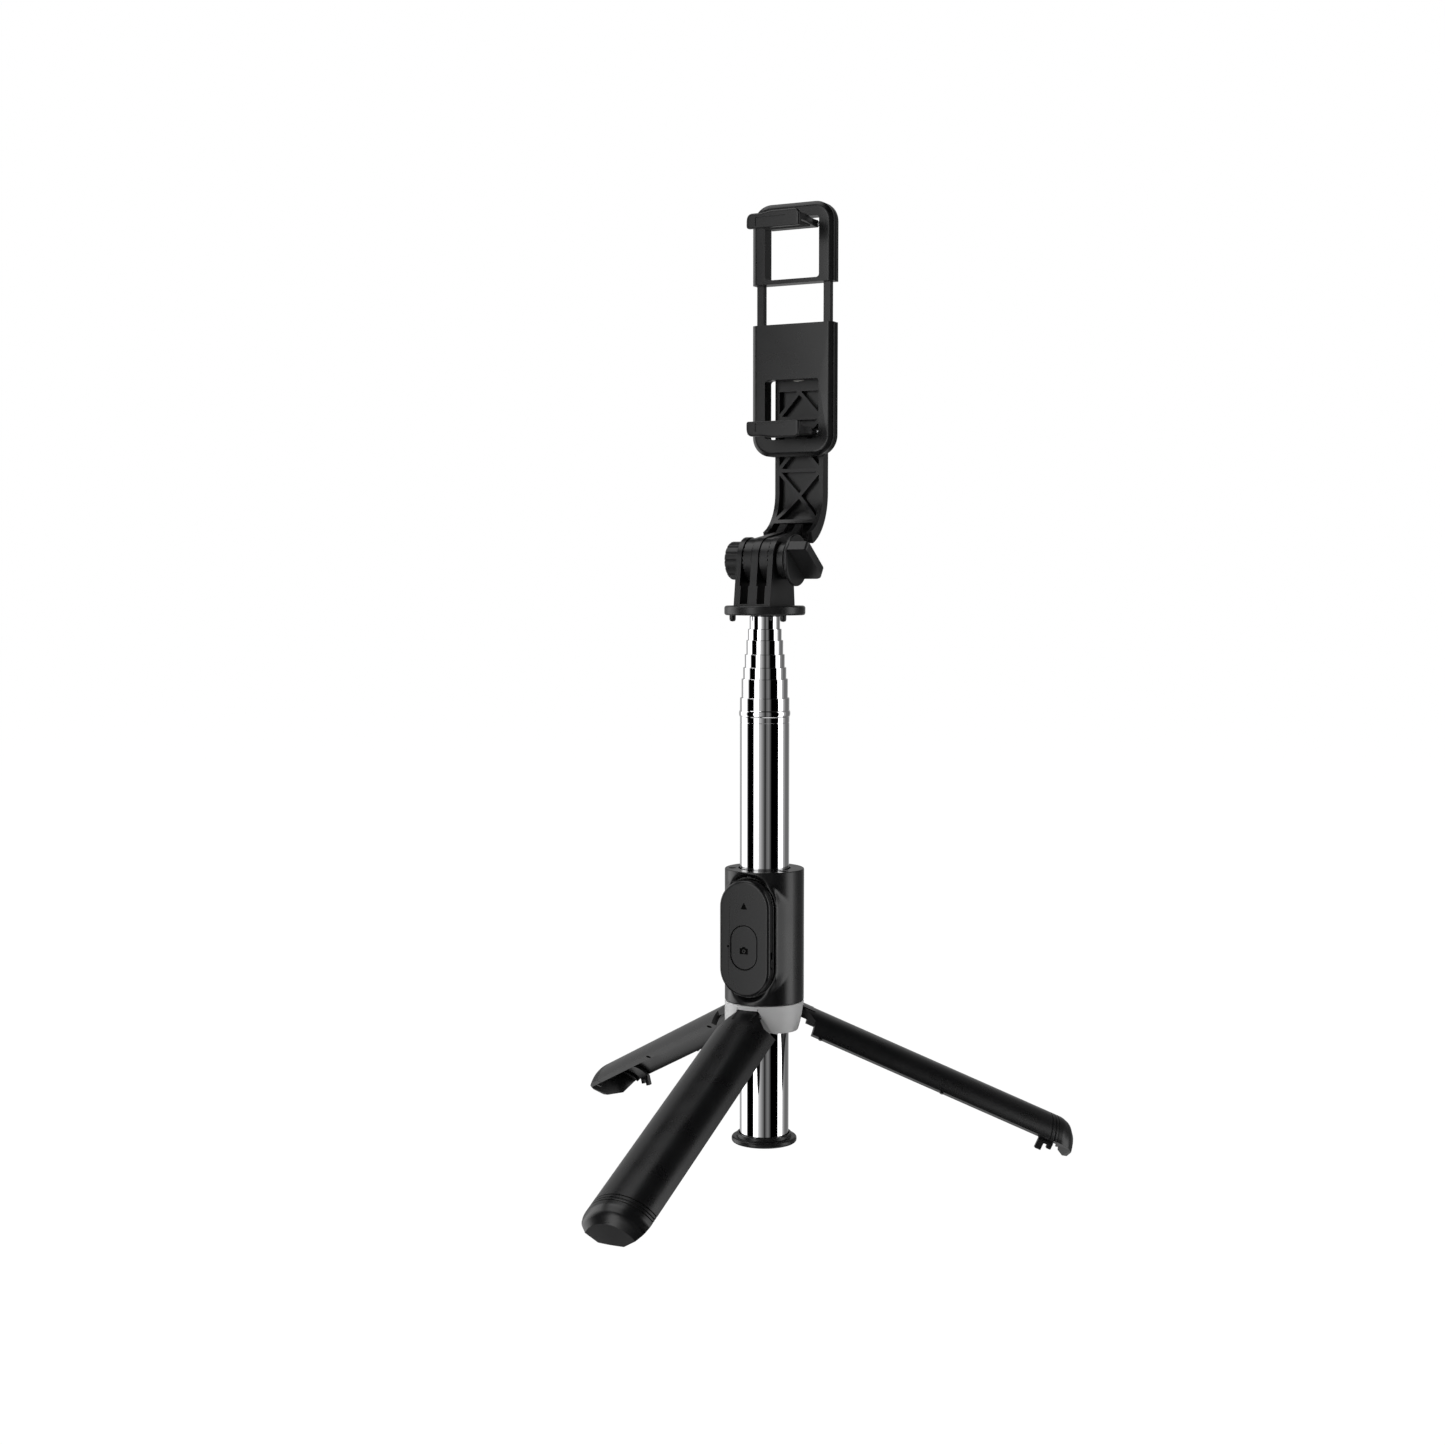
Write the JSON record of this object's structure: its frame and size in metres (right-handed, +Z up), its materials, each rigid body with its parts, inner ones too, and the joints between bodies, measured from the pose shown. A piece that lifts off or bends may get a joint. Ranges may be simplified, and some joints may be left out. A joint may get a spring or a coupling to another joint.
{
  "type": "selfie stick",
  "caption": "Telescopic chrome pole on a folding leg handle, with a docked shutter remote, a tilting swivel arm and a spring clamp for a phone.",
  "frame": {"origin": "centre of the base disc's flat underside, on the pole's axis", "axes": "+Z up along the pole, -Y towards the side that the remote and the phone's screen face, +X towards the wing knob"},
  "size_m": [0.212, 0.1868, 0.3629],
  "materials": {
    "chrome": "polished",
    "satin_black_plastic": "satin",
    "black_plastic": "fine matt",
    "grey_satin": "satin",
    "steel": "zinc plated",
    "white_nylon": "natural",
    "green_board": "lacquered",
    "nickel_cell": "nickel plated",
    "black_rubber": "soft matt"
  },
  "bodies": {
    "handle": {"tripod_collar": "grey_satin", "handle_housing": "satin_black_plastic", "guide_sleeve": "white_nylon", "collar_screw_1": "steel", "collar_screw_2": "steel", "collar_screw_3": "steel", "leg_hinge_pin_front": "steel", "leg_hinge_pin_right": "steel", "leg_hinge_pin_left": "steel"},
    "leg_front": {"leg_shell_front": "satin_black_plastic", "leg_foot_front": "satin_black_plastic", "leg_latch_front": "black_plastic"},
    "leg_right": {"leg_shell_right": "satin_black_plastic", "leg_foot_right": "satin_black_plastic", "leg_latch_right": "black_plastic"},
    "leg_left": {"leg_shell_left": "satin_black_plastic", "leg_foot_left": "satin_black_plastic", "leg_latch_left": "black_plastic"},
    "pole_1": {"outer_tube": "chrome", "base_disc": "black_plastic"},
    "pole_2": {"pole_tube_2": "chrome", "friction_plug_2": "white_nylon"},
    "pole_3": {"pole_tube_3": "chrome", "friction_plug_3": "white_nylon"},
    "pole_4": {"pole_tube_4": "chrome", "friction_plug_4": "white_nylon"},
    "pole_5": {"pole_tube_5": "chrome", "friction_plug_5": "white_nylon"},
    "pole_6": {"pole_tube_6": "chrome", "friction_plug_6": "white_nylon"},
    "pole_7": {"pole_tube_7": "chrome", "friction_plug_7": "white_nylon"},
    "head": {"head_base": "black_plastic", "ribbed_nut_cap": "black_plastic", "hex_nut": "steel"},
    "knob": {"clamp_bolt": "steel", "wing_knob": "black_plastic"},
    "arm": {"tilt_arm": "black_plastic"},
    "clamp": {"clamp_body": "satin_black_plastic", "clamp_rear_cover": "satin_black_plastic", "clamp_screw_left": "steel", "clamp_screw_right": "steel", "swivel_axle": "steel", "swivel_washer": "white_nylon", "lower_jaw_pin": "steel", "clamp_spring_left": "steel", "clamp_spring_right": "steel"},
    "slider": {"clamp_slider": "satin_black_plastic", "upper_jaw_pin": "steel"},
    "jaw_lower": {"lower_jaw": "satin_black_plastic", "lower_jaw_pad": "black_rubber"},
    "jaw_upper": {"upper_jaw": "satin_black_plastic", "upper_jaw_pad": "black_rubber"},
    "remote": {"remote_front_shell": "satin_black_plastic", "remote_rear_shell": "satin_black_plastic", "circuit_board": "green_board", "coin_cell": "nickel_cell", "key_dome": "steel"},
    "shutter": {"shutter_button": "satin_black_plastic"},
    "switch": {"power_switch": "black_plastic"}
  },
  "joints": [
    {"name": "leg_front_fold", "type": "hinge", "parent": "handle", "child": "leg_front", "pos_m": [0, -0.0125, 0.0511], "axis": [1, 0, 0], "range_deg": [0, 65.5]},
    {"name": "leg_right_fold", "type": "hinge", "parent": "handle", "child": "leg_right", "pos_m": [0.01083, 0.00625, 0.0511], "axis": [-0.5, 0.866, 0], "range_deg": [0, 65.5]},
    {"name": "leg_left_fold", "type": "hinge", "parent": "handle", "child": "leg_left", "pos_m": [-0.01083, 0.00625, 0.0511], "axis": [-0.5, -0.866, 0], "range_deg": [0, 65.5]},
    {"name": "pole_slide", "type": "slide", "parent": "handle", "child": "pole_1", "axis": [0, 0, 1], "range_m": [-0.0648, 0.04]},
    {"name": "section_2_slide", "type": "slide", "parent": "pole_1", "child": "pole_2", "axis": [0, 0, 1], "range_m": [-0.007, 0.12]},
    {"name": "section_3_slide", "type": "slide", "parent": "pole_2", "child": "pole_3", "axis": [0, 0, 1], "range_m": [-0.0042, 0.118]},
    {"name": "section_4_slide", "type": "slide", "parent": "pole_3", "child": "pole_4", "axis": [0, 0, 1], "range_m": [-0.0048, 0.115]},
    {"name": "section_5_slide", "type": "slide", "parent": "pole_4", "child": "pole_5", "axis": [0, 0, 1], "range_m": [-0.0052, 0.11]},
    {"name": "section_6_slide", "type": "slide", "parent": "pole_5", "child": "pole_6", "axis": [0, 0, 1], "range_m": [-0.0041, 0.105]},
    {"name": "section_7_slide", "type": "slide", "parent": "pole_6", "child": "pole_7", "axis": [0, 0, 1], "range_m": [-0.005, 0.1]},
    {"name": "head_pan", "type": "hinge", "parent": "pole_7", "child": "head", "pos_m": [0, 0, 0.2], "axis": [0, 0, 1], "range_deg": [-120, 120]},
    {"name": "knob_turn", "type": "hinge", "parent": "head", "child": "knob", "pos_m": [0, 0, 0.2206], "axis": [1, 0, 0], "continuous": true},
    {"name": "head_tilt", "type": "hinge", "parent": "head", "child": "arm", "pos_m": [0, 0, 0.2206], "axis": [1, 0, 0], "range_deg": [-40, 165]},
    {"name": "clamp_swivel", "type": "hinge", "parent": "arm", "child": "clamp", "pos_m": [0, 0.0315, 0.2966], "axis": [0, 1, 0], "range_deg": [-90, 90]},
    {"name": "jaw_slide", "type": "slide", "parent": "clamp", "child": "slider", "axis": [0, 0, 1], "range_m": [-0.015, 0.012], "deforming": ["clamp_spring_left", "clamp_spring_right"]},
    {"name": "lower_jaw_fold", "type": "hinge", "parent": "clamp", "child": "jaw_lower", "pos_m": [0, 0.0256, 0.2696], "axis": [-1, 0, 0], "range_deg": [0, 90]},
    {"name": "upper_jaw_fold", "type": "hinge", "parent": "slider", "child": "jaw_upper", "pos_m": [0, 0.0256, 0.3482], "axis": [1, 0, 0], "range_deg": [0, 90]},
    {"name": "remote_slide", "type": "slide", "parent": "handle", "child": "remote", "axis": [0, -1, 0], "range_m": [0, 0.03]},
    {"name": "shutter_press", "type": "slide", "parent": "remote", "child": "shutter", "axis": [0, 1, 0], "range_m": [0, 0.0005], "stiffness_N_per_m": 400},
    {"name": "switch_slide", "type": "slide", "parent": "remote", "child": "switch", "axis": [0, 0, 1], "range_m": [0, 0.002]}
  ]
}
